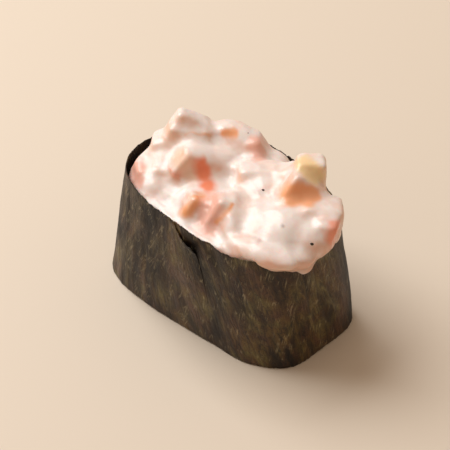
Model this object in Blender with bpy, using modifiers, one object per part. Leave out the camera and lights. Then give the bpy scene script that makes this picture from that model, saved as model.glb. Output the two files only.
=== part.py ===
"""Gunkan sushi: a rice block in an upright strip of nori, heaped with diced salmon in mayonnaise.

Metres, +Z up. The origin is on the board, under the middle of the block, and the long way runs along X.
"""

import math
import random

import bmesh
import bpy
import numpy as np
from mathutils import Euler, Matrix, Vector, noise

MM = 0.001
DEG = math.pi / 180
GAP = 0.3 * MM  # clearance between pieces that touch
SEED = 7

# Nori strip: its outer face is a loft between the outline on the board and the outline of the rim
STRIP_HEIGHT = 31.5 * MM
SHEET = 0.4 * MM
STRIP_FOOT = 0.12 * MM  # the sloping sheet stands on its inner edge
LAYER_GAP = 0.15 * MM
FOOT = {"length": 56.9, "width": 32.5, "end_power": 3.61, "side_power": 4.07, "taper": 0.038,
        "turn": 0.0, "shift": (0.0, 0.0)}
RIM = {"length": 52.2, "width": 34.6, "end_power": 2.08, "side_power": 3.38, "taper": -0.008,
       "turn": -0.097, "shift": (1.7, -1.1)}

# Laps run counterclockwise from the +X end: 0.25 is the far side, 0.75 the near side
OUTER_END = 0.803
OVERLAP = 0.108
INNER_START = OUTER_END - OVERLAP - 1.0
EASE = 0.06  # lap over which the inner layer comes out to the outline
STRIP_COLUMNS = 100
STRIP_ROWS = 6
ROOM_END = 0.002  # lap by which the room reaches past the strip's ends
STEP_IN = 0.02  # lap by which what lies inside steps in before the inner layer starts

# Uneven upper edge: the outer end's corner hangs low, with a dip beyond it and a torn peak behind
EDGE_WAVE = 0.25 * MM
EDGE_WAVES = 23  # each lap
CORNER_DROP = 3.4 * MM
CORNER_START = OUTER_END - 0.075
CORNER_RUN = 0.06
EDGE_BELLS = [(-1.0 * MM, -0.135, 0.05), (1.3 * MM, 0.155, 0.012)]  # height, lap, width in laps

# Relief of the strip's face, outwards
FLAP_LIFT = 1.1 * MM
FLAP_RUN = 0.05
FACE_WAVE = 0.18 * MM
FACE_WAVES = (12, 1.5)  # each lap, and from foot to rim
FACE_BELLS = [  # depth, lap, width in laps, rise, width in rises
    (-0.7 * MM, -0.165, 0.012, 0.95, 0.12),
    (0.4 * MM, -0.165, 0.04, 0.0, 0.3),
    (0.4 * MM, 0.04, 0.06, 0.5, 0.3),
]

# Rice block
RICE_TOP = 25.2 * MM
RICE_HOLLOW = 0.7 * MM  # how far the core lies behind the grains' flat faces
RICE_INSET = 0.4 * MM
BLOCK_SIDES = 72
GRAIN = (6.0, 3.0, 2.6)  # length, width and thickness, mm
GRAIN_SPREAD = (0.92, 1.08)
GRAIN_TILT = (0.2, 0.12)  # radians about X and Y, either way
GRAIN_DEPTH = 0.85 * MM  # from a level face to the grains' middles
GRAIN_SPACING = 3.7 * MM
GRAIN_MARGIN = 2.0 * MM
GRAIN_TRIES = 3000
TOP_GRAINS_END = -16.0 * MM  # grains lie on top of the block only left of this, where the heap stops short

# Topping
HEAP_FLOOR = 25.5 * MM
HEAP_LEFT = -21.0 * MM  # the heap stops short of the strip's left end
HEAP_VOXEL = 0.8 * MM
HEAP_ROUNDS = 6
HEAP_TRIANGLES = 4000
BED_TOP = STRIP_HEIGHT - 1.5 * MM
BED_DEPTH = 1.0 * MM  # how far the bed reaches below the heap's floor before it is cut level
DIE_ROUND = 0.9 * MM
DIE_SPREAD = (0.86, 1.0)


def srgb(code):
    """Linear colour of a hex code."""
    parts = [int(code[i:i + 2], 16) / 255 for i in (0, 2, 4)]
    linear = [p / 12.92 if p <= 0.04045 else ((p + 0.055) / 1.055) ** 2.4 for p in parts]
    return (*linear, 1.0)


def material(name, code, roughness):
    made = bpy.data.materials.new(name)
    made.use_nodes = True
    shader = made.node_tree.nodes["Principled BSDF"]
    shader.inputs["Base Color"].default_value = srgb(code)
    shader.inputs["Roughness"].default_value = roughness
    shader.inputs["Metallic"].default_value = 0.0
    made.diffuse_color = srgb(code)
    return made


def clear_scene():
    for item in list(bpy.data.objects):
        bpy.data.objects.remove(item, do_unlink=True)


def new_collection(name):
    made = bpy.data.collections.new(name)
    bpy.context.scene.collection.children.link(made)
    return made


def new_object(name, mesh, collection):
    made = bpy.data.objects.new(name, mesh)
    collection.objects.link(made)
    return made


def as_cutter(item):
    item.hide_render = True
    item.display_type = "WIRE"
    return item


def apply_modifiers(item):
    """Replaces an object's mesh with its evaluated one."""
    bpy.context.view_layer.update()
    graph = bpy.context.evaluated_depsgraph_get()
    mesh = bpy.data.meshes.new_from_object(item.evaluated_get(graph))
    item.modifiers.clear()
    item.data = mesh


def subtract(item, cutter):
    cut = item.modifiers.new(cutter.name, "BOOLEAN")
    cut.operation = "DIFFERENCE"
    cut.solver = "EXACT"
    cut.object = cutter


def keep_largest_island(mesh):
    """Drops the loose scraps that cuts leave."""
    bm = bmesh.new()
    bm.from_mesh(mesh)
    left = set(bm.verts)
    islands = []
    while left:
        island = {left.pop()}
        front = list(island)
        while front:
            vert = front.pop()
            for edge in vert.link_edges:
                other = edge.other_vert(vert)
                if other in left:
                    left.remove(other)
                    island.add(other)
                    front.append(other)
        islands.append(island)
    largest = max(islands, key=len)
    bmesh.ops.delete(bm, geom=[v for v in bm.verts if v not in largest], context="VERTS")
    bm.to_mesh(mesh)
    bm.free()


def level_outline(angle, form):
    """Point of one level's outline: a superellipse with its own power for the ends and the sides."""
    c, s = np.cos(angle), np.sin(angle)
    along = np.sign(c) * np.abs(c) ** (2 / form["end_power"])
    across = np.sign(s) * np.abs(s) ** (2 / form["side_power"]) * (1 + form["taper"] * along)
    x, y = along * form["length"] / 2, across * form["width"] / 2
    turn_c, turn_s = math.cos(form["turn"]), math.sin(form["turn"])
    shift_x, shift_y = form["shift"]
    turned = [x * turn_c - y * turn_s + shift_x, x * turn_s + y * turn_c + shift_y]
    return np.stack(turned, axis=-1) * MM


def even_laps(samples=2001):
    """Lap fractions and angles whose points are evenly spaced around the middle of the strip."""
    angles = np.linspace(0, 2 * math.pi, samples)
    middle = (level_outline(angles, FOOT) + level_outline(angles, RIM)) / 2
    steps = np.linalg.norm(np.diff(middle, axis=0), axis=1)
    run = np.concatenate([[0.0], np.cumsum(steps)])
    return run / run[-1], angles


LAPS, LAP_ANGLES = even_laps()


def wall_point(lap, z, inset):
    """Point of the strip's outer face at a lap and a height, moved inwards by inset."""
    laps = np.array([lap - 0.002, lap, lap + 0.002])
    angles = np.interp(laps % 1.0, LAPS, LAP_ANGLES)
    rise = z / STRIP_HEIGHT
    before, here, after = (1 - rise) * level_outline(angles, FOOT) + rise * level_outline(angles, RIM)
    tangent = (after - before) / np.linalg.norm(after - before)
    x, y = here - inset * np.array([tangent[1], -tangent[0]])
    return Vector((x, y, z))


def bump(value, centre, width):
    """Smooth bell of height 1."""
    return math.exp(-(((value - centre) / width) ** 2))


def smoothstep(value):
    value = min(max(value, 0.0), 1.0)
    return value * value * (3 - 2 * value)


def strip_inset(lap):
    """How far a stretch of the strip lies inside the outline: the first lap starts under the last one."""
    under = 1 - smoothstep((lap - (OUTER_END - 1)) / EASE)
    return (SHEET + LAYER_GAP) * under


def strip_top(lap):
    """Height of the strip's upper edge, which is torn a little uneven."""
    top = STRIP_HEIGHT + EDGE_WAVE * noise.noise(Vector((lap * EDGE_WAVES, 0, 3)))
    top -= CORNER_DROP * smoothstep((lap - CORNER_START) / CORNER_RUN)
    return top + sum(height * bump(lap, place, width) for height, place, width in EDGE_BELLS)


def strip_relief(lap, rise):
    """Dents and bulges of the strip, outwards: the lifted end of the flap, a crease and the foot."""
    relief = FLAP_LIFT * smoothstep((lap - OUTER_END) / FLAP_RUN + 1) * rise ** 3
    for depth, place, width, height, reach in FACE_BELLS:
        relief += depth * bump(lap, place, width) * bump(rise, height, reach)
    waves = noise.noise(Vector((lap * FACE_WAVES[0], rise * FACE_WAVES[1], 9)))
    return relief + FACE_WAVE * waves


def inner_face_inset(lap, z):
    """Inset of the strip's inner face from its outline, already stepped in just before the inner layer."""
    layers = [one for one in (lap % 1.0 - 1.0, lap % 1.0) if INNER_START - STEP_IN <= one <= OUTER_END]
    insets = [strip_inset(one) - strip_relief(one, z / strip_top(one)) for one in layers]
    return max(insets) + SHEET


def take_mesh():
    """The mesh of the primitive that was just added, without its object."""
    item = bpy.context.object
    mesh = item.data
    bpy.data.objects.remove(item, do_unlink=True)
    return mesh


def strip_sheet(name, collection, start, end, grow):
    """A stretch of the strip between two laps, thicker by grow on every side."""
    columns = round(STRIP_COLUMNS * (end - start) / (OUTER_END - INNER_START))
    bpy.ops.mesh.primitive_grid_add(x_subdivisions=columns, y_subdivisions=STRIP_ROWS, size=1)
    mesh = take_mesh()
    for vert in mesh.vertices:
        lap = start + (vert.co.x + 0.5) * (end - start)
        rise = vert.co.y + 0.5
        inset = strip_inset(lap) - strip_relief(lap, rise) - grow
        vert.co = wall_point(lap, STRIP_FOOT + rise * (strip_top(lap) + grow - STRIP_FOOT), inset)
    sheet = new_object(name, mesh, collection)
    solid = sheet.modifiers.new("thickness", "SOLIDIFY")
    solid.thickness = SHEET + 2 * grow
    solid.offset = -1
    solid.use_even_offset = True
    return sheet


def nori_strip(collection):
    """One strip wrapped once round, with its outer end lapped over its start on the near side."""
    strip = strip_sheet("nori_strip", collection, INNER_START, OUTER_END, 0)
    strip.data.materials.append(material("nori", "3d3528", 0.5))
    strip.data.shade_smooth()
    strip.data.set_sharp_from_angle(angle=40 * DEG)


def strip_rooms(collection):
    """Two stretches of the strip, wider by the gap, that keep the topping clear of it."""
    first = strip_sheet("strip_room_first", collection, INNER_START - ROOM_END, 0.2, GAP)
    last = strip_sheet("strip_room_last", collection, 0.19, OUTER_END + ROOM_END, GAP)
    return [as_cutter(first), as_cutter(last)]


def wall_prism(name, collection, bottom, top, inset, left=-1.0):
    """A block that fills the strip between two heights, at an inset from the strip's inner face."""
    bpy.ops.mesh.primitive_cylinder_add(vertices=BLOCK_SIDES, radius=1, depth=1)
    mesh = take_mesh()
    for vert in mesh.vertices:
        lap = math.atan2(vert.co.y, vert.co.x) / (2 * math.pi) % 1.0
        z = top if vert.co.z > 0 else bottom
        vert.co = wall_point(lap, z, inner_face_inset(lap, z) + inset)
        vert.co.x = max(vert.co.x, left)
    return new_object(name, mesh, collection)


def inside_strip(spot, margin):
    """Whether a point is inside the strip by a margin: the outline is convex."""
    for lap in np.linspace(0, 1, 48, endpoint=False):
        outer, inner = wall_point(lap, spot.z, 0), wall_point(lap, spot.z, margin)
        if (spot - inner).dot(outer - inner) > 0:
            return False
    return True


def grain_places(z, reach, chance, places):
    """Adds evenly scattered places for grains on one level, left of reach, to the list of places."""
    half_length, half_width = FOOT["length"] / 2 * MM, FOOT["width"] / 2 * MM
    for _ in range(GRAIN_TRIES):
        x, y = chance.uniform(-half_length, reach), chance.uniform(-half_width, half_width)
        spot = Vector((x, y, z))
        if not inside_strip(spot, GRAIN_MARGIN):
            continue
        if all((spot - other).length > GRAIN_SPACING for other in places):
            places.append(spot)
    return places


def grain_mesh(place, chance):
    size = [side * MM / 2 * chance.uniform(*GRAIN_SPREAD) for side in GRAIN]
    tilt = [chance.uniform(-reach, reach) for reach in GRAIN_TILT]
    turn = Euler((*tilt, chance.uniform(0, math.pi)))
    form = Matrix.Translation(place) @ turn.to_matrix().to_4x4() @ Matrix.Diagonal((*size, 1))
    bm = bmesh.new()
    bmesh.ops.create_uvsphere(bm, u_segments=5, v_segments=4, radius=1,
                              matrix=form @ Matrix.Rotation(math.pi / 2, 4, "Y"))
    mesh = bpy.data.meshes.new("grain")
    bm.to_mesh(mesh)
    bm.free()
    return mesh


def rice_block(collection, cutters):
    """A pressed block whose grains show on its underside and beside the heap."""
    chance = random.Random(SEED)
    low, high = GRAIN_DEPTH, RICE_TOP - GRAIN_DEPTH
    places = grain_places(low, FOOT["length"] / 2 * MM, chance, [Vector((0, 0, low))])
    places += grain_places(high, TOP_GRAINS_END, chance, [])
    block = wall_prism("rice_block", collection, RICE_HOLLOW, RICE_TOP - RICE_HOLLOW, RICE_INSET)
    mould = as_cutter(wall_prism("rice_mould", cutters, 0, RICE_TOP, RICE_INSET))
    grains = new_collection("grains")
    for i, place in enumerate(places):
        new_object(f"grain_{i}", grain_mesh(place, chance), grains)
    fuse = block.modifiers.new("fuse", "BOOLEAN")
    fuse.operation = "UNION"
    fuse.operand_type = "COLLECTION"
    fuse.collection = grains
    fuse.solver = "EXACT"
    press = block.modifiers.new("press", "BOOLEAN")
    press.operation = "INTERSECT"
    press.object = mould
    press.solver = "EXACT"
    apply_modifiers(block)
    for grain in list(grains.objects):
        bpy.data.objects.remove(grain, do_unlink=True)
    bpy.data.collections.remove(grains)
    keep_largest_island(block.data)
    block.data.materials.clear()
    block.data.materials.append(material("rice", "efe9dc", 0.4))


def press_flat(mesh, level, outward):
    """Cuts a mesh off at a level and closes the cut."""
    bm = bmesh.new()
    bm.from_mesh(mesh)
    cut = bmesh.ops.bisect_plane(bm, geom=bm.verts[:] + bm.edges[:] + bm.faces[:], dist=1e-7,
                                 plane_co=(0, 0, level), plane_no=outward, clear_outer=True)
    edges = [e for e in cut["geom_cut"] if isinstance(e, bmesh.types.BMEdge)]
    bmesh.ops.contextual_create(bm, geom=edges)
    bmesh.ops.holes_fill(bm, edges=[e for e in bm.edges if e.is_boundary], sides=0)
    bmesh.ops.triangulate(bm, faces=bm.faces[:])
    bm.to_mesh(mesh)
    bm.free()


# Salmon dice: centre, size along their own axes (mm), and turn about X, Y, Z (degrees)
DICE = {
    "salmon_peak": ((-15.6, 3.4, 37.0), (8.6, 4.2, 7.4), (-4, 28, 42)),
    "salmon_left": ((-18.2, -9.4, 30.0), (6.0, 3.2, 5.8), (-14, 4, -38)),
    "salmon_vivid": ((-7.8, -3.2, 32.4), (11.4, 5.0, 6.2), (-18, 48, 42)),
    "salmon_near": ((-1.2, -11.4, 30.6), (3.8, 5.2, 7.4), (-14, 30, 42)),
    "salmon_creased": ((5.1, -9.4, 30.9), (5.8, 5.6, 9.0), (-16, 34, 42)),
    "salmon_top": ((-8.2, 9.2, 35.8), (5.4, 4.8, 5.2), (-8, 10, 42)),
    "salmon_leaning": ((-1.6, 11.0, 33.3), (4.4, 6.0, 8.4), (-8, -28, 42)),
    "salmon_pale": ((14.9, 9.8, 36.5), (6.6, 5.4, 8.2), (-4, 4, 42)),
    "salmon_large": ((17.0, 4.0, 35.2), (8.6, 4.2, 7.6), (-28, 39, 42)),
    "salmon_end": ((27.4, 1.2, 34.0), (4.6, 5.4, 3.2), (4, 8, 30)),
}

# Dice wholly under the sauce: centre, size (mm), and turn about X, Y, Z (degrees)
BLOCKS = [
    ((-14.4, 2.2, 37.3), (10.4, 5.4, 4.0), (-6, 8, 42)),
    ((-16.8, -0.6, 32.2), (8.0, 8.0, 10.0), (-10, -16, 42)),
    ((-8.3, 2.0, 34.4), (11.4, 7.0, 5.2), (-10, 16, 42)),
    ((-14.0, -6.4, 28.6), (9.0, 8.6, 8.4), (-14, 20, 42)),
    ((4.8, 4.8, 32.8), (10.6, 7.0, 7.6), (-8, 2, 42)),
    ((11.0, 8.4, 34.0), (4.6, 8.0, 7.0), (-16, -20, 42)),
    ((23.0, 4.2, 31.6), (9.6, 8.4, 9.0), (-8, 8, 42)),
]

# Lumps of the coated heap: centre, radii (mm), and turn about X, Y, Z (degrees)
LUMPS = [
    ((-9.4, -8.8, 27.4), (8.4, 5.6, 4.4), (0, 0, 20)),
    ((-15.2, -3.4, 31.0), (5.6, 5.6, 4.6), (0, 0, 0)),
    ((-8.4, 1.0, 31.0), (8.0, 8.6, 5.2), (0, 0, 10)),
    ((-6.6, 9.6, 32.0), (7.4, 5.0, 6.6), (0, 0, 20)),
    ((1.6, 12.4, 30.0), (5.6, 3.4, 4.0), (0, 0, 0)),
    ((-1.0, -5.4, 29.0), (9.6, 9.0, 4.6), (0, 0, 0)),
    ((8.0, 3.0, 30.0), (8.0, 8.0, 6.0), (0, 0, 0)),
    ((-6.2, -0.6, 35.6), (6.6, 2.8, 1.9), (-10, 28, 42)),
    ((-13.4, -10.2, 28.4), (5.0, 4.4, 4.2), (0, 0, 0)),
    ((-18.4, -6.0, 29.6), (3.6, 5.0, 4.4), (0, 0, 20)),
    ((8.6, -8.9, 30.4), (8.4, 2.8, 4.6), (0, 21, -49)),
    ((14.2, -4.7, 28.6), (6.3, 10.2, 6.6), (0, 0, 41.7)),
    ((18.6, -1.4, 29.2), (9.0, 10.6, 7.2), (0, 0, 10)),
    ((24.2, -1.4, 29.8), (6.0, 6.0, 5.4), (0, 0, 0)),
    ((20.4, -12.2, 30.9), (9.0, 3.6, 2.4), (0, 0, 12)),
    ((26.6, -7.6, 29.4), (4.4, 2.8, 2.8), (0, 0, 41.7)),
]


def placed(centre, turn):
    """Matrix of a place (mm) and a turn about X, Y, Z (degrees)."""
    turned = Euler([angle * DEG for angle in turn]).to_matrix().to_4x4()
    return Matrix.Translation(Vector(centre) * MM) @ turned


def die_mesh(size, grow):
    """A rounded, slightly uneven block at the origin."""
    chance = random.Random(round(sum(size) * 100))
    bm = bmesh.new()
    bmesh.ops.create_cube(bm, size=1)
    for vert in bm.verts:
        for axis in range(3):
            side = math.copysign(1, vert.co[axis])
            vert.co[axis] = side * (size[axis] / 2 * MM * chance.uniform(*DIE_SPREAD) + grow)
    bmesh.ops.bevel(bm, geom=bm.edges[:], offset=DIE_ROUND, segments=2, profile=0.5, affect="EDGES",
                    material=-1)
    mesh = bpy.data.meshes.new("die")
    bm.to_mesh(mesh)
    bm.free()
    return mesh


def place_die(name, collection, grow):
    centre, size, turn = DICE[name]
    mesh = die_mesh(size, grow)
    mesh.transform(placed(centre, turn))
    return new_object(name if grow == 0 else f"{name}_room", mesh, collection)


def salmon_dice(collection):
    flesh = material("salmon", "e8805a", 0.35)
    for name in DICE:
        die = place_die(name, collection, 0)
        die.data.materials.append(flesh)
        die.data.shade_smooth()
        die.data.set_sharp_from_angle(angle=50 * DEG)


def covered_forms():
    """The lumps and the covered dice, still separate, as one mesh."""
    bm = bmesh.new()
    for centre, radii, turn in LUMPS:
        form = placed(centre, turn) @ Matrix.Diagonal((*radii, 1))
        bmesh.ops.create_icosphere(bm, subdivisions=3, radius=MM, matrix=form)
    for centre, size, turn in BLOCKS:
        block = die_mesh(size, 0)
        block.transform(placed(centre, turn))
        bm.from_mesh(block)
    mesh = bpy.data.meshes.new("covered_forms")
    bm.to_mesh(mesh)
    bm.free()
    return mesh


def heap(collection, cutters):
    """The sauce and the dice that it covers, as one soft heap with room for the bare dice."""
    bed = wall_prism("bed", collection, HEAP_FLOOR - BED_DEPTH, BED_TOP, GAP, HEAP_LEFT)
    forms = bmesh.new()
    forms.from_mesh(covered_forms())
    forms.from_mesh(bed.data)
    mesh = bpy.data.meshes.new("mayo_heap")
    forms.to_mesh(mesh)
    forms.free()
    bpy.data.objects.remove(bed, do_unlink=True)
    body = new_object("mayo_heap", mesh, collection)
    remesh = body.modifiers.new("blend", "REMESH")
    remesh.mode = "VOXEL"
    remesh.voxel_size = HEAP_VOXEL
    soften = body.modifiers.new("soften", "SMOOTH")
    soften.factor = 0.5
    soften.iterations = HEAP_ROUNDS
    apply_modifiers(body)
    thin = body.modifiers.new("thin", "DECIMATE")
    thin.ratio = min(1.0, HEAP_TRIANGLES / (2 * len(body.data.polygons)))
    for room in strip_rooms(cutters):
        subtract(body, room)
    for name in DICE:
        subtract(body, as_cutter(place_die(name, cutters, GAP)))
    apply_modifiers(body)
    press_flat(body.data, HEAP_FLOOR, Vector((0, 0, -1)))
    keep_largest_island(body.data)
    body.data.materials.clear()
    body.data.materials.append(material("mayonnaise", "ecd3c8", 0.3))
    body.data.shade_smooth()


def main():
    clear_scene()
    sushi = new_collection("gunkan_sushi")
    cutters = new_collection("cutters")
    nori_strip(sushi)
    rice_block(sushi, cutters)
    salmon_dice(sushi)
    heap(sushi, cutters)


main()
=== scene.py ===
"""Gunkan sushi: a strip of nori round pressed rice, heaped with diced salmon in mayonnaise.

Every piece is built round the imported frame, in metres, with +Z up and the block's long way along X.
"""

import functools
import math
import random

import bmesh
import bpy
import numpy as np
from mathutils import Euler, Matrix, Vector, noise
from mathutils.bvhtree import BVHTree


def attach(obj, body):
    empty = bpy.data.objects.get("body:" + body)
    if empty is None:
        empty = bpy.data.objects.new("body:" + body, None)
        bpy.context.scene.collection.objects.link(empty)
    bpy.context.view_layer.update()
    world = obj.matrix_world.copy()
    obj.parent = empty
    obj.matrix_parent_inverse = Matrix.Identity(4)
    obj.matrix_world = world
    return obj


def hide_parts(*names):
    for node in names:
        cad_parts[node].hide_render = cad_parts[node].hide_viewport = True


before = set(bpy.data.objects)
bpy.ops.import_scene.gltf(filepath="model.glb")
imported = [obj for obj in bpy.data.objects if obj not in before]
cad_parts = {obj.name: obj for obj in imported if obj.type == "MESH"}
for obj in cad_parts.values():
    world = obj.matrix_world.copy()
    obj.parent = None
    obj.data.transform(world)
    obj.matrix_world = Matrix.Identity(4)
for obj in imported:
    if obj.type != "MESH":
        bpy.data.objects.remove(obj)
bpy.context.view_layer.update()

MM = 0.001
DEG = math.pi / 180
SEED = 11

# Camera: the photograph's view, fitted to the strip's foot and rim
FRAME_PIXELS = 450
PIXELS_PER_METRE = 4403
CAMERA_AZIMUTH = 41.7
CAMERA_ELEVATION = 41.0
CAMERA_DISTANCE = 1.0
CAMERA_SENSOR = 36.0
AIM_RIGHT = -1.2 * MM
AIM_UP = 15.03 * MM
CAMERA_CLIP = (0.05, 10)
ROOM_STRENGTH = 0.4

# Nori strip, as in the solids: a loft between the outline on the board and the outline of the rim
STRIP_HEIGHT = 31.5 * MM
FOOT = {"length": 56.9, "width": 32.5, "end_power": 3.61, "side_power": 4.07, "taper": 0.038,
        "turn": 0.0, "shift": (0.0, 0.0)}
RIM = {"length": 52.2, "width": 34.6, "end_power": 2.08, "side_power": 3.38, "taper": -0.008,
       "turn": -0.097, "shift": (1.7, -1.1)}
SOLID_SHEET = 0.4 * MM
LAYER_GAP = 0.15 * MM
SHEET = 0.22 * MM
STUCK_GAP = 0.03 * MM
STRIP_COLUMNS = 520
STRIP_ROWS = 88

# Laps run counterclockwise from the +X end: 0.25 is the far side, 0.75 the near side
OUTER_END = 0.803
OVERLAP = 0.108
INNER_START = OUTER_END - OVERLAP - 1.0
EASE = 0.06  # lap over which the inner layer comes out to the outline
STEP_IN = 0.02  # lap by which what lies inside steps in before the inner layer starts
TANGENT_STEP = 0.002  # lap to either side that gives the outline's direction

# Outer end: pressed flat on the layer under it, all but the flap's lifted top
END_TAPER = 0.02  # lap over which it is pressed flat
END_THINNED = 0.9  # share of the sheet's thickness that it loses
FLAP_RISE = 0.91  # share of the height above which the flap lifts
FLAP_FADE = 0.06  # share of the height over which it comes unstuck
FLAP_LIFT = 1.1 * MM
FLAP_RUN = 0.05  # lap over which it lifts

# Uneven edges: the outer end's corner hangs low, with a dip beyond it and a torn peak behind
EDGE_WAVE = 0.25 * MM
EDGE_WAVES = 23  # each lap
CORNER_DROP = 3.4 * MM
CORNER_LAP = 0.075  # before the outer end
CORNER_RUN = 0.06
EDGE_BELLS = [(-1.0 * MM, -0.135, 0.05), (1.3 * MM, 0.155, 0.012)]  # height, lap, width in laps
EDGE_TEAR = 0.2 * MM
EDGE_TEARS = [(130, 1), (340, 2)]  # each lap, and a number that sets them apart
FOOT_TEAR = 0.26 * MM
FOOT_TEARS = (260, 5)

# Relief of the strip's face, outwards
FACE_BELLS = [  # depth, lap, width in laps, rise, width in rises
    (-0.7 * MM, -0.165, 0.012, 0.95, 0.12),
    (0.4 * MM, -0.165, 0.04, 0.0, 0.3),
    (0.4 * MM, 0.04, 0.06, 0.5, 0.3),
]
FACE_WAVE = 0.26 * MM
FACE_WAVES = (11.0, 2.2)  # mm round, and from foot to rim
WRINKLES = [  # depth, mm round, mm up, lean
    (0.13 * MM, 2.6, 9, 0.9),
    (0.06 * MM, 0.9, 4.5, 0.7),
    (0.035 * MM, 0.7, 0.8, 0.0),
]

# Patterns on the strip
LAP_LENGTH = 165.0  # mm that patterns count for a lap, which is about 151 mm round the middle
FIBRE_LEAN = 0.10  # mm round for each mm up
STRAND_LEAN = -0.34

# Rice
RICE_TOP = 25.2 * MM
CORE_BOTTOM = 0.9 * MM
CORE_DROP = 1.0 * MM  # how far the core's top lies below the rice's
CORE_INSET = 0.4 * MM
PRISM_SIDES = 96
GRAIN = (6.0, 2.6, 2.3)  # length, width and thickness, mm
GRAIN_SPREAD = (0.9, 1.1)
GRAIN_TILT = (0.25, 0.15)  # radians about X and Y, either way
GRAIN_SPACING = 2.3 * MM
GRAIN_TRIES = 6000
GRAIN_FIELD = (-28.5 * MM, 16.5 * MM)  # left end, and half width
GRAIN_LEVELS = [  # height, right end, margin from the strip
    (1.25 * MM, 28 * MM, 4.1 * MM),
    (RICE_TOP - 1.1 * MM, -14 * MM, 3.9 * MM),
]
GRAIN_LOWEST = 0.02 * MM
GRAIN_HIGHEST = RICE_TOP + 0.15 * MM
WALL_POINTS = 48

# Topping
HEAP_FLOOR = 25.5 * MM
HEAP_LEFT = -21.0 * MM  # the heap stops short of the strip's left end
BED_TOP = STRIP_HEIGHT - 1.5 * MM
BED_INSET = 0.3 * MM
SAUCE_VOXEL = 0.3 * MM
SAUCE_FILL = 1.6 * MM  # radius up to which the sauce fills hollows
SAUCE_ROUNDS = 10
FILM = 0.3 * MM
DIE_SPREAD = (0.86, 1.0)
DIE_ROUND = 0.9 * MM


def linear(code):
    """Linear colour of an sRGB hex code."""
    parts = [int(code[i:i + 2], 16) / 255 for i in (0, 2, 4)]
    return [p / 12.92 if p <= 0.04045 else ((p + 0.055) / 1.055) ** 2.4 for p in parts]


def add_node(tree, kind, inputs=None, **settings):
    """Adds a node with its settings; an input is a value or the output that feeds it."""
    made = tree.nodes.new(kind)
    for name, value in settings.items():
        setattr(made, name, value)
    for name, value in (inputs or {}).items():
        if isinstance(value, bpy.types.NodeSocket):
            tree.links.new(value, made.inputs[name])
        else:
            made.inputs[name].default_value = value
    return made


def new_material(name):
    made = bpy.data.materials.new(name)
    made.use_nodes = True
    made.node_tree.nodes.clear()
    return made, made.node_tree


def finish_material(tree, inputs):
    shader = add_node(tree, "ShaderNodeBsdfPrincipled", inputs)
    add_node(tree, "ShaderNodeOutputMaterial", {"Surface": shader.outputs["BSDF"]})


def ramp(tree, factor, stops):
    """A colour ramp through (place, hex code) stops."""
    made = add_node(tree, "ShaderNodeValToRGB", {"Fac": factor})
    elements = made.color_ramp.elements
    while len(elements) < len(stops):
        elements.new(0.5)
    for element, (place, code) in zip(elements, stops):
        element.position = place
        element.color = (*linear(code), 1)
    return made.outputs["Color"]


def mix(tree, factor, first, second, blend="MIX"):
    made = add_node(tree, "ShaderNodeMix", data_type="RGBA", blend_type=blend)
    for socket, value in ((made.inputs[0], factor), (made.inputs[6], first), (made.inputs[7], second)):
        if isinstance(value, bpy.types.NodeSocket):
            tree.links.new(value, socket)
        else:
            socket.default_value = value
    return made.outputs[2]


def new_piece(name, bm, material, replaced=()):
    """A finished bmesh as a piece of the object, riding on its body."""
    mesh = bpy.data.meshes.new(name)
    bm.to_mesh(mesh)
    bm.free()
    return piece_from_mesh(name, mesh, material, replaced)


def piece_from_mesh(name, mesh, material, replaced=()):
    piece = bpy.data.objects.new(name, mesh)
    bpy.context.scene.collection.objects.link(piece)
    mesh.materials.clear()
    mesh.materials.append(material)
    mesh.shade_smooth()
    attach(piece, "root")
    if replaced:
        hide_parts(*replaced)
    return piece


def evaluated_mesh(piece):
    """The piece's mesh with its modifiers applied."""
    bpy.context.view_layer.update()
    graph = bpy.context.evaluated_depsgraph_get()
    return bpy.data.meshes.new_from_object(piece.evaluated_get(graph))


def bump_at(value, centre, width):
    """Smooth bell of height 1."""
    return math.exp(-(((value - centre) / width) ** 2))


def smoothstep(value):
    value = min(max(value, 0.0), 1.0)
    return value * value * (3 - 2 * value)


# Stage


def make_camera():
    azimuth, elevation = CAMERA_AZIMUTH * DEG, CAMERA_ELEVATION * DEG
    right = Vector((math.cos(azimuth), math.sin(azimuth), 0))
    back = Vector((math.sin(azimuth) * math.cos(elevation), -math.cos(azimuth) * math.cos(elevation),
                   math.sin(elevation)))
    up = back.cross(right)
    lens = bpy.data.cameras.new("camera")
    lens.sensor_width = CAMERA_SENSOR
    lens.lens = CAMERA_SENSOR * CAMERA_DISTANCE * PIXELS_PER_METRE / FRAME_PIXELS
    lens.clip_start, lens.clip_end = CAMERA_CLIP
    camera = bpy.data.objects.new("camera", lens)
    bpy.context.scene.collection.objects.link(camera)
    camera.location = back * CAMERA_DISTANCE
    aim = right * AIM_RIGHT + up * AIM_UP - camera.location
    camera.rotation_euler = aim.to_track_quat("-Z", "Y").to_euler()
    bpy.context.scene.camera = camera


def make_floor():
    material, tree = new_material("pale_painted_board")
    finish_material(tree, {"Base Color": (*linear("e6ddcd"), 1), "Roughness": 0.55})
    bm = bmesh.new()
    bmesh.ops.create_grid(bm, x_segments=1, y_segments=1, size=1.5)
    mesh = bpy.data.meshes.new("floor")
    bm.to_mesh(mesh)
    bm.free()
    floor = bpy.data.objects.new("floor", mesh)
    bpy.context.scene.collection.objects.link(floor)
    mesh.materials.append(material)


def add_light(name, place, aim, size, power, code):
    lamp = bpy.data.lights.new(name, "AREA")
    lamp.shape = "SQUARE"
    lamp.size = size
    lamp.energy = power
    lamp.color = linear(code)
    light = bpy.data.objects.new(name, lamp)
    bpy.context.scene.collection.objects.link(light)
    light.location = place
    light.rotation_euler = (Vector(aim) - Vector(place)).to_track_quat("-Z", "Y").to_euler()


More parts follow.
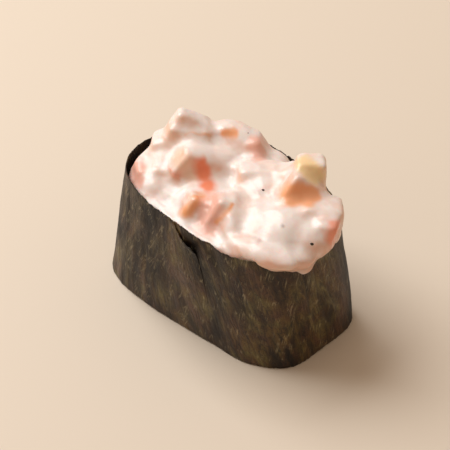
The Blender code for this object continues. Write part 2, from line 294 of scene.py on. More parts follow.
def make_lights():
    """A soft key from the left and behind, and a pale room that fills the near sides."""
    add_light("key", (-0.50, -0.06, 0.62), (0, 0, 0.03), 0.6, 6.2, "fdf9f7")
    world = bpy.data.worlds.new("room")
    world.use_nodes = True
    background = world.node_tree.nodes["Background"]
    background.inputs["Color"].default_value = (*linear("ffdfc4"), 1)
    background.inputs["Strength"].default_value = ROOM_STRENGTH
    bpy.context.scene.world = world
    bpy.context.scene.view_settings.view_transform = "Standard"


# Outline of the strip


def level_outline(angle, form):
    """Point of one level's outline: a superellipse with its own power for the ends and the sides."""
    c, s = np.cos(angle), np.sin(angle)
    along = np.sign(c) * np.abs(c) ** (2 / form["end_power"])
    across = np.sign(s) * np.abs(s) ** (2 / form["side_power"]) * (1 + form["taper"] * along)
    x, y = along * form["length"] / 2, across * form["width"] / 2
    turn_c, turn_s = math.cos(form["turn"]), math.sin(form["turn"])
    shift_x, shift_y = form["shift"]
    turned = [x * turn_c - y * turn_s + shift_x, x * turn_s + y * turn_c + shift_y]
    return np.stack(turned, axis=-1) * MM


def even_laps(samples=2001):
    """Lap fractions and angles whose points are evenly spaced round the middle of the strip."""
    angles = np.linspace(0, 2 * math.pi, samples)
    middle = (level_outline(angles, FOOT) + level_outline(angles, RIM)) / 2
    steps = np.linalg.norm(np.diff(middle, axis=0), axis=1)
    run = np.concatenate([[0.0], np.cumsum(steps)])
    return run / run[-1], angles


LAPS, LAP_ANGLES = even_laps()


@functools.cache
def level_points(lap):
    """Points just before, at and after a lap on the foot's and the rim's outline."""
    angles = np.interp(np.array([lap - TANGENT_STEP, lap, lap + TANGENT_STEP]) % 1.0, LAPS, LAP_ANGLES)
    return [[Vector(point) for point in level_outline(angles, form)] for form in (FOOT, RIM)]


def wall_point(lap, z, inset):
    """Point of the strip's outer face at a lap and a height, moved inwards by inset."""
    foot, rim = level_points(lap)
    before, here, after = [low.lerp(high, z / STRIP_HEIGHT) for low, high in zip(foot, rim)]
    tangent = (after - before).normalized()
    return Vector((here.x - inset * tangent.y, here.y + inset * tangent.x, z))


def strip_inset(lap, layer=SOLID_SHEET + LAYER_GAP):
    """How far a stretch of the strip lies inside the outline: the first lap starts under the last one."""
    return layer * (1 - smoothstep((lap - (OUTER_END - 1)) / EASE))


def torn(lap, tears, row):
    """Ragged height of a torn edge, with so many tears each lap."""
    return noise.noise(Vector((lap * tears, row, 0.5)))


def strip_top(lap):
    """Height of the strip's upper edge, torn a little uneven."""
    top = STRIP_HEIGHT + EDGE_WAVE * noise.noise(Vector((lap * EDGE_WAVES, 0, 3)))
    top -= CORNER_DROP * smoothstep((lap - OUTER_END + CORNER_LAP) / CORNER_RUN)
    for height, place, width in EDGE_BELLS:
        top += height * bump_at(lap, place, width)
    for tears, row in EDGE_TEARS:
        top += EDGE_TEAR * torn(lap, tears, row)
    return top


def round_place(lap, size, up, lean=0.0):
    """Place for a pattern of a size (mm) on the strip, which joins up where the strip laps over."""
    radius = LAP_LENGTH / (2 * math.pi * size)
    angle = 2 * math.pi * lap + lean * up / radius
    return Vector((radius * math.cos(angle), radius * math.sin(angle), up))


def strip_relief(lap, rise):
    """Dents and bulges of the strip, outwards: the lifted end of the flap, creases and the foot."""
    near_end = smoothstep((lap - OUTER_END + FLAP_RUN) / FLAP_RUN)
    relief = FLAP_LIFT * near_end * smoothstep((rise - FLAP_RISE) / (1 - FLAP_RISE))
    for depth, place, width, height, reach in FACE_BELLS:
        relief += depth * bump_at(lap, place, width) * bump_at(rise, height, reach)
    size, waves_up = FACE_WAVES
    return relief + FACE_WAVE * noise.noise(round_place(lap, size, rise * waves_up))


def strip_grain(lap, height):
    """Wrinkles of the moist sheet, which run up and down, and the grit of its fibres."""
    up = height / MM
    return sum(depth * noise.noise(round_place(lap, size, up / length, lean))
               for depth, size, length, lean in WRINKLES)


def end_stuck(lap, rise):
    """How far the strip's outer end is pressed flat on the layer under it: all but its lifted top."""
    near_end = smoothstep((lap - OUTER_END + END_TAPER) / END_TAPER)
    return near_end * (1 - smoothstep((rise - FLAP_RISE + FLAP_FADE) / FLAP_FADE))


def inner_face_inset(lap, z):
    """Inset of the strip's inner face from its outline at a lap of the outline."""
    layers = [one for one in (lap % 1.0 - 1.0, lap % 1.0) if INNER_START - STEP_IN <= one <= OUTER_END]
    insets = [strip_inset(one) - strip_relief(one, z / strip_top(one)) for one in layers]
    return max(insets) + SOLID_SHEET


def wall_prism(bm, bottom, top, inset, left=-1.0):
    """A block that fills the strip between two heights, at an inset from the strip's inner face.

    Its left end is flat where left cuts it short."""
    made = bmesh.ops.create_cone(bm, cap_ends=True, segments=PRISM_SIDES, radius1=1, radius2=1, depth=1)
    for vert in made["verts"]:
        lap = math.atan2(vert.co.y, vert.co.x) / (2 * math.pi) % 1.0
        z = top if vert.co.z > 0 else bottom
        vert.co = wall_point(lap, z, inner_face_inset(lap, z) + inset)
        vert.co.x = max(vert.co.x, left)


# Nori


def toasted_nori():
    """Toasted seaweed, moist from the rice: dark laver in olive and brown, with pale strands.

    Scales are for each mm: patches of 8 mm, hues of 6, strands and fibres of 1 to 2, and grit of 0.4."""
    material, tree = new_material("toasted_nori")
    place = add_node(tree, "ShaderNodeAttribute", attribute_name="fibre_mm").outputs["Vector"]
    leaning = add_node(tree, "ShaderNodeAttribute", attribute_name="strand_mm").outputs["Vector"]
    upright = add_node(tree, "ShaderNodeMapping", {"Vector": place, "Scale": (1, 1, 0.3)}).outputs[0]
    drawn = add_node(tree, "ShaderNodeMapping", {"Vector": leaning, "Scale": (1, 1, 0.11)}).outputs[0]
    patches = add_node(tree, "ShaderNodeTexNoise", {"Vector": upright, "Scale": 0.13, "Detail": 4.0,
                                                    "Roughness": 0.6, "Distortion": 0.7}).outputs["Fac"]
    hues = add_node(tree, "ShaderNodeTexNoise", {"Vector": place, "Scale": 0.17, "Detail": 3.0,
                                                 "Distortion": 0.5}).outputs["Fac"]
    fibres = add_node(tree, "ShaderNodeTexNoise", {"Vector": upright, "Scale": 0.75, "Detail": 4.0,
                                                   "Roughness": 0.62, "Distortion": 1.2}).outputs["Fac"]
    strands = add_node(tree, "ShaderNodeTexNoise", {"Vector": drawn, "Scale": 0.62, "Detail": 3.0,
                                                    "Distortion": 1.1}).outputs["Fac"]
    gaps = add_node(tree, "ShaderNodeTexNoise", {"Vector": place, "Scale": 0.45,
                                                 "Detail": 2.0}).outputs["Fac"]
    grit = add_node(tree, "ShaderNodeTexNoise", {"Vector": place, "Scale": 2.4,
                                                 "Detail": 3.0}).outputs["Fac"]
    hue = ramp(tree, hues, [(0.38, "5a3d26"), (0.5, "665026"), (0.62, "6e6438")])
    depth = ramp(tree, patches, [(0.36, "3a2e22"), (0.5, "a89c8a"), (0.62, "ffffff")])
    colour = mix(tree, 1.0, hue, depth, "MULTIPLY")
    tone = ramp(tree, fibres, [(0.34, "6e6152"), (0.5, "cfc6b8"), (0.64, "ffffff")])
    colour = mix(tree, 0.9, colour, tone, "MULTIPLY")
    thread = ramp(tree, strands, [(0.465, "000000"), (0.5, "8d8468"), (0.535, "000000")])
    broken = ramp(tree, gaps, [(0.5, "000000"), (0.66, "ffffff")])
    thread = mix(tree, 1.0, thread, broken, "MULTIPLY")
    colour = mix(tree, 0.7, colour, thread, "SCREEN")
    pits = ramp(tree, grit, [(0.33, "3c3128"), (0.43, "ffffff")])
    colour = mix(tree, 0.7, colour, pits, "MULTIPLY")
    rough = add_node(tree, "ShaderNodeMapRange", {"Value": patches, "From Min": 0.35, "From Max": 0.65,
                                                  "To Min": 0.6, "To Max": 0.36}).outputs[0]
    coarse = add_node(tree, "ShaderNodeBump", {"Height": fibres, "Strength": 0.8, "Distance": 0.3 * MM})
    lines = add_node(tree, "ShaderNodeBump", {"Height": thread, "Strength": 0.6, "Distance": 0.12 * MM,
                                              "Normal": coarse.outputs[0]})
    fine = add_node(tree, "ShaderNodeBump", {"Height": grit, "Strength": 0.5, "Distance": 0.12 * MM,
                                             "Normal": lines.outputs[0]})
    finish_material(tree, {"Base Color": colour, "Roughness": rough, "Specular IOR Level": 0.42,
                           "Normal": fine.outputs[0]})
    return material


def nori_strip():
    """One strip wrapped once round, with its outer end stuck down over its start on the near side."""
    bm = bmesh.new()
    bmesh.ops.create_grid(bm, x_segments=STRIP_COLUMNS, y_segments=STRIP_ROWS, size=1)
    fibre = bm.verts.layers.float_vector.new("fibre_mm")
    strand = bm.verts.layers.float_vector.new("strand_mm")
    thinned = bm.verts.layers.deform.new()
    for vert in bm.verts:
        lap = INNER_START + (vert.co.x + 1) / 2 * (OUTER_END - INNER_START)
        rise = (vert.co.y + 1) / 2
        foot = FOOT_TEAR + FOOT_TEAR * torn(lap, *FOOT_TEARS)
        height = foot + rise * (strip_top(lap) - foot)
        outwards = strip_relief(lap, rise) + strip_grain(lap, height)
        stuck = END_THINNED * end_stuck(lap, rise)
        inset = strip_inset(lap, SHEET + STUCK_GAP) + stuck * SHEET - outwards
        vert.co = wall_point(lap, height, inset)
        vert[fibre] = round_place(lap, 1.0, height / MM, FIBRE_LEAN)
        vert[strand] = round_place(lap, 1.0, height / MM, STRAND_LEAN)
        vert[thinned][0] = 1 - stuck
    strip = new_piece("nori_sheet", bm, toasted_nori(), ["nori_strip"])
    strip.vertex_groups.new(name="thickness")
    solid = strip.modifiers.new("thickness", "SOLIDIFY")
    solid.thickness = SHEET
    solid.offset = -1
    solid.use_even_offset = True
    solid.vertex_group = "thickness"


# Rice


def cooked_rice():
    """Short-grain rice, boiled: moist starch, so off-white and slightly translucent."""
    material, tree = new_material("cooked_rice")
    place = add_node(tree, "ShaderNodeTexCoord").outputs["Object"]
    cloud = add_node(tree, "ShaderNodeTexNoise", {"Vector": place, "Scale": 420.0, "Detail": 2.0})
    colour = ramp(tree, cloud.outputs["Fac"], [(0.3, "e2dccb"), (0.7, "f6f2e8")])
    relief = add_node(tree, "ShaderNodeBump", {"Height": cloud.outputs["Fac"], "Strength": 0.3,
                                               "Distance": 0.1 * MM})
    finish_material(tree, {"Base Color": colour, "Roughness": 0.35, "Subsurface Weight": 0.25,
                           "Subsurface Radius": (1.0, 0.8, 0.6), "Subsurface Scale": 0.8 * MM,
                           "Normal": relief.outputs[0]})
    return material


def add_grain(bm, place, chance):
    size = [side * MM / 2 * chance.uniform(*GRAIN_SPREAD) for side in GRAIN]
    tilt = [chance.uniform(-reach, reach) for reach in GRAIN_TILT]
    turn = Euler((*tilt, chance.uniform(0, math.pi)))
    form = Matrix.Translation(place) @ turn.to_matrix().to_4x4() @ Matrix.Diagonal((*size, 1))
    bmesh.ops.create_uvsphere(bm, u_segments=8, v_segments=6, radius=1,
                              matrix=form @ Matrix.Rotation(math.pi / 2, 4, "Y"))


def scatter(chance, z, reach, margin):
    """Evenly scattered places on one level inside the strip, left of reach."""
    laps = np.linspace(0, 1, WALL_POINTS)
    walls = [(wall_point(lap, z, 0), wall_point(lap, z, margin)) for lap in laps]
    left, half_width = GRAIN_FIELD
    places = []
    for _ in range(GRAIN_TRIES):
        spot = Vector((chance.uniform(left, reach), chance.uniform(-half_width, half_width), z))
        if any((spot - inner).dot(outer - inner) > 0 for outer, inner in walls):
            continue
        if all((spot - other).length > GRAIN_SPACING for other in places):
            places.append(spot)
    return places


def rice():
    """The pressed block, with whole grains on its underside and beside the heap."""
    chance = random.Random(SEED)
    bm = bmesh.new()
    wall_prism(bm, CORE_BOTTOM, RICE_TOP - CORE_DROP, CORE_INSET)
    for height, reach, margin in GRAIN_LEVELS:
        for spot in scatter(chance, height, reach, margin):
            add_grain(bm, spot, chance)
    for vert in bm.verts:
        vert.co.z = min(max(vert.co.z, GRAIN_LOWEST), GRAIN_HIGHEST)
    new_piece("rice_grains", bm, cooked_rice(), ["rice_block"])


# Topping

# Salmon dice: centre, size along their own axes (mm), and turn about X, Y, Z (degrees)
DICE = {
    "salmon_peak": ((-15.6, 3.4, 37.0), (8.6, 4.2, 7.4), (-4, 28, 42)),
    "salmon_left": ((-18.2, -9.4, 30.0), (6.0, 3.2, 5.8), (-14, 4, -38)),
    "salmon_vivid": ((-7.8, -3.2, 32.4), (11.4, 5.0, 6.2), (-18, 48, 42)),
    "salmon_near": ((-1.2, -11.4, 30.6), (3.8, 5.2, 7.4), (-14, 30, 42)),
    "salmon_creased": ((5.1, -9.4, 30.9), (5.8, 5.6, 9.0), (-16, 34, 42)),
    "salmon_top": ((-8.2, 9.2, 35.8), (5.4, 4.8, 5.2), (-8, 10, 42)),
    "salmon_leaning": ((-1.6, 11.0, 33.3), (4.4, 6.0, 8.4), (-8, -28, 42)),
    "salmon_pale": ((14.9, 9.8, 36.5), (6.6, 5.4, 8.2), (-4, 4, 42)),
    "salmon_large": ((17.0, 4.0, 35.2), (8.6, 4.2, 7.6), (-28, 39, 42)),
    "salmon_end": ((27.4, 1.2, 34.0), (4.6, 5.4, 3.2), (4, 8, 30)),
}

# Block forms under the sauce, read from the heap's bumps: centre, size (mm), and turn (degrees)
BLOCKS = [
    ((-14.4, 2.2, 37.3), (10.4, 5.4, 4.0), (-6, 8, 42)),
    ((-16.8, -0.6, 32.2), (8.0, 8.0, 10.0), (-10, -16, 42)),
    ((-8.3, 2.0, 34.4), (11.4, 7.0, 5.2), (-10, 16, 42)),
    ((-14.0, -6.4, 28.6), (9.0, 8.6, 8.4), (-14, 20, 42)),
    ((4.8, 4.8, 32.8), (10.6, 7.0, 7.6), (-8, 2, 42)),
    ((11.0, 8.4, 34.0), (4.6, 8.0, 7.0), (-16, -20, 42)),
    ((23.0, 4.2, 31.6), (9.6, 8.4, 9.0), (-8, 8, 42)),
]

# Lumps of the coated heap: centre, radii (mm), and turn about X, Y, Z (degrees)
LUMPS = [
    ((-9.4, -8.8, 27.4), (8.4, 5.6, 4.4), (0, 0, 20)),
    ((-15.2, -3.4, 31.0), (5.6, 5.6, 4.6), (0, 0, 0)),
    ((-8.4, 1.0, 31.0), (8.0, 8.6, 5.2), (0, 0, 10)),
    ((-6.6, 9.6, 32.0), (7.4, 5.0, 6.6), (0, 0, 20)),
    ((1.6, 12.4, 30.0), (5.6, 3.4, 4.0), (0, 0, 0)),
    ((-1.0, -5.4, 29.0), (9.6, 9.0, 4.6), (0, 0, 0)),
    ((8.0, 3.0, 30.0), (8.0, 8.0, 6.0), (0, 0, 0)),
    ((-6.2, -0.6, 35.6), (6.6, 2.8, 1.9), (-10, 28, 42)),
    ((-13.4, -10.2, 28.4), (5.0, 4.4, 4.2), (0, 0, 0)),
    ((-18.4, -6.0, 29.6), (3.6, 5.0, 4.4), (0, 0, 20)),
    ((8.6, -8.9, 30.4), (8.4, 2.8, 4.6), (0, 21, -49)),
    ((14.2, -4.7, 28.6), (6.3, 10.2, 6.6), (0, 0, 41.7)),
    ((18.6, -1.4, 29.7), (8.8, 10.6, 6.7), (0, 0, 10)),
    ((24.2, -1.4, 30.8), (6.0, 6.0, 4.4), (0, 0, 0)),
    ((20.4, -12.2, 30.9), (9.0, 3.6, 2.4), (0, 0, 12)),
    ((26.2, -7.8, 29.4), (4.2, 2.6, 2.4), (0, 0, 41.7)),
    ((26.4, -6.6, 27.0), (3.0, 1.5, 2.3), (0, 0, 41.7)),
    ((19.0, 9.5, 31.3), (3.0, 2.4, 2.2), (0, 0, 0)),
]


def placed(centre, turn):
    """Place and turn of a die or lump."""
    turned = Euler([angle * DEG for angle in turn]).to_matrix().to_4x4()
    return Matrix.Translation(Vector(centre) * MM) @ turned


def add_block(bm, size, chance, grow=0.0):
    """A rounded, slightly uneven block at the origin."""
    made = bmesh.ops.create_cube(bm, size=1)
    for vert in made["verts"]:
        for axis in range(3):
            side = math.copysign(1, vert.co[axis])
            vert.co[axis] = side * (size[axis] / 2 * MM * chance.uniform(*DIE_SPREAD) + grow)
    edges = list({edge for vert in made["verts"] for edge in vert.link_edges})
    bmesh.ops.bevel(bm, geom=edges, offset=DIE_ROUND, segments=3, profile=0.5, affect="EDGES",
                    material=-1)


def die_bmesh(name, grow):
    bm = bmesh.new()
    size = DICE[name][1]
    add_block(bm, size, random.Random(round(sum(size) * 100)), grow)
    return bm


def add_mesh(mesh, bm, place):
    """Adds a finished bmesh to a mesh, in its place."""
    whole = bmesh.new()
    whole.from_mesh(mesh)
    bm.transform(place)
    piece = bpy.data.meshes.new("piece")
    bm.to_mesh(piece)
    bm.free()
    whole.from_mesh(piece)
    whole.to_mesh(mesh)
    whole.free()


def blended(mesh, voxel, close, rounds):
    """One skin round overlapping forms, its hollows filled up to a radius, then softened."""
    body = bpy.data.objects.new("heap", mesh)
    bpy.context.scene.collection.objects.link(body)
    for size, push in ((2 * voxel, close), (2 * voxel, -close), (voxel, 0)):
        remesh = body.modifiers.new("blend", "REMESH")
        remesh.mode = "VOXEL"
        remesh.voxel_size = size
        if push:
            shift = body.modifiers.new("push", "DISPLACE")
            shift.mid_level = 0
            shift.strength = push
    soften = body.modifiers.new("soften", "SMOOTH")
    soften.factor = 0.5
    soften.iterations = rounds
    made = evaluated_mesh(body)
    bpy.data.objects.remove(body)
    return made


def heap_mesh():
    """The blended surface of the lumps and the coated dice."""
    bm = bmesh.new()
    wall_prism(bm, HEAP_FLOOR, BED_TOP, BED_INSET, HEAP_LEFT)
    for centre, radii, turn in LUMPS:
        bmesh.ops.create_icosphere(bm, subdivisions=4, radius=MM,
                                   matrix=placed(centre, turn) @ Matrix.Diagonal((*radii, 1)))
    joined = bpy.data.meshes.new("lumps")
    bm.to_mesh(joined)
    bm.free()
    chance = random.Random(SEED)
    for centre, size, turn in BLOCKS:
        block = bmesh.new()
        add_block(block, size, chance)
        add_mesh(joined, block, placed(centre, turn))
    for name in DICE:
        add_mesh(joined, die_bmesh(name, FILM), placed(DICE[name][0], DICE[name][2]))
    return blended(joined, SAUCE_VOXEL, SAUCE_FILL, SAUCE_ROUNDS)


def mayonnaise():
    """Mayonnaise thinned over raw salmon: an opaque emulsion, so pink-white, soft and wet-glossy."""
    material, tree = new_material("mayonnaise")
    paint = add_node(tree, "ShaderNodeAttribute", attribute_name="paint").outputs["Color"]
    place = add_node(tree, "ShaderNodeTexCoord").outputs["Object"]
    cloud = add_node(tree, "ShaderNodeTexNoise", {"Vector": place, "Scale": 330.0, "Detail": 3.0})
    relief = add_node(tree, "ShaderNodeBump", {"Height": cloud.outputs["Fac"], "Strength": 0.25,
                                               "Distance": 0.25 * MM})
    finish_material(tree, {"Base Color": paint, "Roughness": 0.34, "Coat Weight": 0.3,
                           "Coat Roughness": 0.2, "Subsurface Weight": 0.25,
                           "Subsurface Radius": (1.0, 0.45, 0.3), "Subsurface Scale": 1.6 * MM,
                           "Specular IOR Level": 0.5, "Normal": relief.outputs[0]})
    return material


def raw_salmon():
    """Raw salmon flesh: orange-red muscle in thin flakes with pale fat between them, wet."""
    material, tree = new_material("raw_salmon")
    place = add_node(tree, "ShaderNodeAttribute", attribute_name="die_mm").outputs["Vector"]
    flakes = add_node(tree, "ShaderNodeTexWave", {"Vector": place, "Scale": 0.22, "Distortion": 3.0,
                                                  "Detail": 2.0, "Detail Scale": 0.6})
    cloud = add_node(tree, "ShaderNodeTexNoise", {"Vector": place, "Scale": 0.5, "Detail": 3.0})
    flesh = ramp(tree, cloud.outputs["Fac"], [(0.3, "e2623a"), (0.55, "ec7f52"), (0.75, "f2a070")])
    lines = ramp(tree, flakes.outputs["Fac"], [(0.8, "000000"), (0.98, "f6d3b8")])
    colour = mix(tree, 0.35, flesh, lines, "SCREEN")
    relief = add_node(tree, "ShaderNodeBump", {"Height": flakes.outputs["Fac"], "Strength": 0.4,
                                               "Distance": 0.2 * MM})
    finish_material(tree, {"Base Color": colour, "Roughness": 0.25, "Subsurface Weight": 0.3,
                           "Subsurface Radius": (1.0, 0.3, 0.15), "Subsurface Scale": 1.5 * MM,
                           "Normal": relief.outputs[0]})
    return material


# Salmon flesh as it looks through a thin coat of sauce
FLESH = {
    "red_muscle": "f68c62",
    "orange_muscle": "fbb07a",
    "pink_muscle": "f2b9a6",
    "pale_belly": "f6d2b8",
    "yellow_fat": "fbdca4",
}
DIE_FLESH = {
    "salmon_peak": "pale_belly",
    "salmon_left": "pink_muscle",
    "salmon_vivid": "red_muscle",
    "salmon_near": "orange_muscle",
    "salmon_creased": "pink_muscle",
    "salmon_top": "orange_muscle",
    "salmon_leaning": "pink_muscle",
    "salmon_pale": "yellow_fat",
    "salmon_large": "orange_muscle",
    "salmon_end": "red_muscle",
}
BLOCK_FLESH = "pale_belly"

# Places that the sauce has left all but bare: from one place to another (mm), with their half width
# and soft edge (mm), the flesh that shows and how strongly
BARE_PLACES = {
    "large_face": ((17.4, 0.6, 37.6), (20.2, 3.2, 37.6), 2.6, 1.0, "orange_muscle", 0.9),
    "pale_face": ((14.9, 8.0, 40.4), (17.6, 8.4, 38.8), 2.2, 0.8, "yellow_fat", 0.9),
    "leaning_face": ((-0.6, 9.4, 37.4), (1.4, 8.0, 36.0), 1.8, 0.9, "pink_muscle", 0.8),
    "top_face": ((-7.6, 6.6, 38.1), (-5.8, 8.0, 38.0), 0.9, 0.7, "orange_muscle", 0.9),
    "crease": ((-13.4, 0.4, 38.6), (-9.4, 4.2, 38.4), 0.2, 0.4, "orange_muscle", 0.7),
    "pale_side": ((-10.6, -4.6, 35.8), (-6.0, -6.2, 35.6), 2.2, 1.1, "pale_belly", 0.85),
    "vivid_face": ((-6.0, -3.4, 36.2), (-1.4, -5.8, 33.6), 1.5, 1.0, "red_muscle", 0.95),
    "left_face": ((-18.6, -10.4, 32.0), (-17.0, -11.8, 30.4), 1.8, 0.8, "pink_muscle", 0.85),
    "near_face": ((0.0, -10.2, 34.0), (-0.9, -13.4, 31.0), 1.3, 0.9, "orange_muscle", 0.95),
    "creased_face": ((3.0, -9.8, 34.0), (5.4, -13.6, 31.0), 2.6, 1.2, "pink_muscle", 0.8),
    "creased_edge": ((8.0, -8.8, 35.1), (6.6, -11.9, 31.6), 0.6, 0.5, "orange_muscle", 0.9),
    "end_face": ((29.2, 1.4, 35.0), (29.6, 0.2, 32.4), 1.4, 0.9, "red_muscle", 0.7),
}
THIN_COAT = 0.25  # mm of sauce over a die, where its flesh shows most
THICK_COAT = 1.1  # mm of sauce that hides it
THIN_COAT_SHARE = 0.5
# Steep faces show more flesh: partly the sauce running thin, partly painted shade
COAT_LEVEL = (0.95, 0.6)  # lean that counts as level, and the fall from it to a steep face
LEVEL_SHARE = (0.15, 0.85)  # flesh that shows on any face, and more on a steep one
BROKEN_COAT = (0.5, 1.1)  # middle and swing of the patches where the coat is broken
BROKEN_SHARE = (0.35, 0.65)  # flesh that shows anywhere, and more where the coat is broken
SAUCE_WHITE = "f8efeb"
# Pink-tan of the sauce: a real tint everywhere and in clouds, and painted shade where it deepens on steep
# faces
SAUCE_TINT_AND_SHADE = "ecc1ac"
STEEP_SHADE_LEVEL = (0.93, 0.7)
TINT_AND_SHADE_SHARES = (0.1, 0.72, 0.5)  # everywhere, more on steep faces, and swing of the clouds
CLOUD_SIZE = 4.5  # mm
RAGGED = 0.7  # mm that the edges of bare places wander
RAGGED_SIZE = 1.7  # mm
VIEW_DEPTH_SHARE = 0.35  # of a place's depth along the photograph's view that still counts

# Folds of the stirred sauce
STIRRED = Vector((0.86, -0.12, -0.5)).normalized()
FOLD_STRETCH = 0.72  # share of the way along that a fold takes no notice of
FOLD_WIDTH = 2.6  # mm
FOLD_HEIGHT = 0.16  # mm
RIPPLES = [(0.10, 3.2), (0.035, 1.3)]  # height and size, mm

# Specks of pepper on the sauce: place and size (mm)
SPECKS = [
    ((9.8, -0.1, 35.3), 0.34),
    ((28.0, -4.6, 32.8), 0.42),
    ((-3.7, 10.1, 38.1), 0.16),
]
SPECK_FORM = (1, 0.7, 0.35)  # length, width and thickness for each mm of size
SPECK_ROUGHNESS = 0.35
SPECK_STEP = 7  # keeps the specks' shapes apart

# Specks just under the sauce, which dull its colour: place and reach (mm), colour and strength
SUNK_SPECKS = [
    ((21.2, -6.5, 35.1), 0.9, "7d6a60", 0.7),
    ((18.7, -11.6, 33.2), 1.0, "c98d80", 0.6),
]


def flattened(points):
    """Places with their depth along the photograph's view shortened, so that strokes reach in."""
    azimuth, elevation = CAMERA_AZIMUTH * DEG, CAMERA_ELEVATION * DEG
    back = np.array([math.sin(azimuth) * math.cos(elevation),
                     -math.cos(azimuth) * math.cos(elevation), math.sin(elevation)])
    points = np.atleast_2d(points)
    return points - (1 - VIEW_DEPTH_SHARE) * np.outer(points @ back, back)


def stroke_share(points, stroke):
    """How much of a stroke's tint each place takes."""
    start, end, width, soft, _, strength = stroke
    first, last = flattened(np.array(start)), flattened(np.array(end))
    run = last - first
    along = np.clip(((points - first) @ run.T) / (run @ run.T), 0, 1)
    reach = np.linalg.norm(points - first - along * run, axis=1)
    share = np.clip((width + soft - reach) / (2 * soft), 0, 1)
    return strength * (share * share * (3 - 2 * share))[:, None]


def mesh_points(mesh):
    points = np.zeros(len(mesh.vertices) * 3)
    mesh.vertices.foreach_get("co", points)
    return points.reshape(-1, 3) / MM


def mesh_normals(mesh):
    normals = np.zeros(len(mesh.vertices) * 3)
    mesh.vertices.foreach_get("normal", normals)
    return normals.reshape(-1, 3)


def dice_under_sauce():
    """The dice as one search tree, with the flesh of each of its faces."""
    chance = random.Random(SEED)
    forms = []
    for centre, size, turn in BLOCKS:
        block = bmesh.new()
        add_block(block, size, chance)
        forms.append((block, placed(centre, turn), BLOCK_FLESH))
    for name, (centre, _, turn) in DICE.items():
        forms.append((die_bmesh(name, 0), placed(centre, turn), DIE_FLESH[name]))
    corners, faces, flesh = [], [], []
    for bm, place, kind in forms:
        bm.transform(place)
        faces += [[len(corners) + vert.index for vert in face.verts] for face in bm.faces]
        flesh += [linear(FLESH[kind])] * len(bm.faces)
        corners += [vert.co.copy() for vert in bm.verts]
        bm.free()
    return BVHTree.FromPolygons(corners, faces), flesh


def coat_share(thickness, lean, cloud):
    """How much flesh shows: most under a thin coat, and on steep faces, partly because the sauce runs off
    them and partly as painted shade.
    """
    thin = 1 - smoothstep((thickness - THIN_COAT) / (THICK_COAT - THIN_COAT))
    # Painted shade in part: the flesh tint grows on steep faces
    steep = smoothstep((COAT_LEVEL[0] - lean) / COAT_LEVEL[1])
    broken = smoothstep(BROKEN_COAT[0] + BROKEN_COAT[1] * cloud)
    on_face = LEVEL_SHARE[0] + LEVEL_SHARE[1] * steep
    return THIN_COAT_SHARE * thin * on_face * (BROKEN_SHARE[0] + BROKEN_SHARE[1] * broken)


def flesh_through_coat(mesh, points, cloud):
    """Share and colour of the flesh that shows at each point of the sauce."""
    nearest, flesh = dice_under_sauce()
    shares, tints = [], []
    for point, normal, patch in zip(points, mesh_normals(mesh), cloud):
        _, _, face, distance = nearest.find_nearest(Vector(point) * MM)
        shares.append(coat_share(distance / MM, normal[2], patch))
        tints.append(flesh[face])
    return np.array(shares)[:, None], np.array(tints)


def painted(mesh):
    """Colours every point of the sauce: white or pink-tan, with painted shade on steep faces, then the
    flesh and specks that show.
    """
    points = mesh_points(mesh)
    cloud = np.array([noise.fractal(Vector(point) / CLOUD_SIZE, 1.0, 2.0, 3) for point in points])
    # Painted shade: steep faces take more of the pink-tan, so they read darker than level ones
    level, fall = STEEP_SHADE_LEVEL
    steep = np.array([smoothstep((level - lean) / fall) for lean in mesh_normals(mesh)[:, 2]])
    tint_and_shade = np.clip(TINT_AND_SHADE_SHARES[0] + TINT_AND_SHADE_SHARES[1] * steep + TINT_AND_SHADE_SHARES[2] * cloud, 0, 1)[:, None]
    colours = (1 - tint_and_shade) * np.array(linear(SAUCE_WHITE)) + tint_and_shade * np.array(linear(SAUCE_TINT_AND_SHADE))
    share, tint = flesh_through_coat(mesh, points, cloud)
    colours = colours * (1 - share) + tint * share
    wander = np.array([noise.noise_vector(Vector(point) / RAGGED_SIZE) for point in points])
    flat = flattened(points + RAGGED * wander)
    for stroke in BARE_PLACES.values():
        share = stroke_share(flat, stroke)
        colours = colours * (1 - share) + np.array(linear(FLESH[stroke[4]])) * share
    for place, reach, code, strength in SUNK_SPECKS:
        away = np.linalg.norm(flat - flattened(np.array(place)), axis=1)
        share = strength * np.clip(1 - away / reach, 0, 1)[:, None]
        colours = colours * (1 - share) + np.array(linear(code)) * share
    layer = mesh.color_attributes.new("paint", "FLOAT_COLOR", "POINT")
    opaque = np.ones((len(points), 1))
    layer.data.foreach_set("color", np.concatenate([colours, opaque], axis=1).ravel())


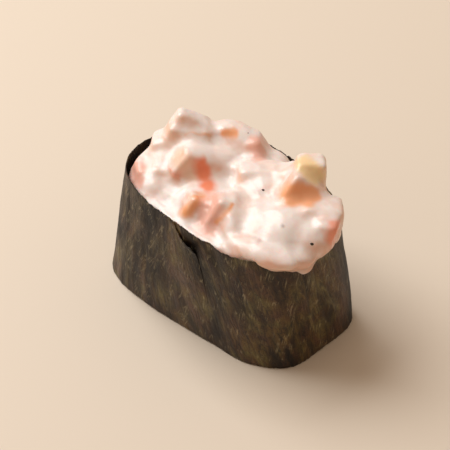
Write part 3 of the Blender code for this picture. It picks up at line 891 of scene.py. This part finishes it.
def ripple(place):
    """Height of the sauce's ripples (mm): long folds the way it was stirred, and smaller ones."""
    along = place.dot(STIRRED)
    drawn_out = place - FOLD_STRETCH * along * STIRRED
    height = FOLD_HEIGHT * (1 - 2 * abs(noise.noise(drawn_out / FOLD_WIDTH)))
    for depth, size in RIPPLES:
        height += depth * noise.noise(place / size)
    return height


def rumpled(mesh):
    """Gives the sauce the low ripples that stirring and dripping leave."""
    points = mesh_points(mesh)
    ripples = [ripple(Vector(point)) for point in points]
    moved = (points + mesh_normals(mesh) * np.array(ripples)[:, None]) * MM
    mesh.vertices.foreach_set("co", moved.ravel())
    mesh.update()


def pepper(mesh):
    """Specks of ground pepper on the sauce."""
    material, tree = new_material("ground_pepper")
    finish_material(tree, {"Base Color": (*linear("2c2119"), 1), "Roughness": 0.6})
    tree_of_faces = BVHTree.FromPolygons([vert.co for vert in mesh.vertices],
                                         [tuple(face.vertices) for face in mesh.polygons])
    bm = bmesh.new()
    for index, (place, size) in enumerate(SPECKS):
        spot, normal, _, _ = tree_of_faces.find_nearest(Vector(place) * MM)
        turn = normal.to_track_quat("Z", "Y").to_matrix().to_4x4()
        form = Matrix.Diagonal((*(size * side * MM for side in SPECK_FORM), 1))
        made = bmesh.ops.create_icosphere(bm, subdivisions=2, radius=1, matrix=form)
        for vert in made["verts"]:
            spot_in_noise = vert.co / (size * MM) + Vector((index * SPECK_STEP, 0, 0))
            vert.co *= 1 + SPECK_ROUGHNESS * noise.noise(spot_in_noise)
            vert.co = Matrix.Translation(spot) @ turn @ vert.co
    new_piece("pepper_specks", bm, material)


def heap():
    mesh = heap_mesh()
    rumpled(mesh)
    painted(mesh)
    pepper(mesh)
    piece_from_mesh("mayo_coat", mesh, mayonnaise(), ["mayo_heap"])


def salmon_dice():
    flesh = raw_salmon()
    for name in DICE:
        bm = die_bmesh(name, 0)
        layer = bm.verts.layers.float_vector.new("die_mm")
        for vert in bm.verts:
            vert[layer] = vert.co / MM
        bm.transform(placed(DICE[name][0], DICE[name][2]))
        new_piece(name + "_piece", bm, flesh, [name])


noise.seed_set(SEED)  # unseeded, noise_vector differs from run to run
make_camera()
make_floor()
make_lights()
nori_strip()
rice()
heap()
salmon_dice()
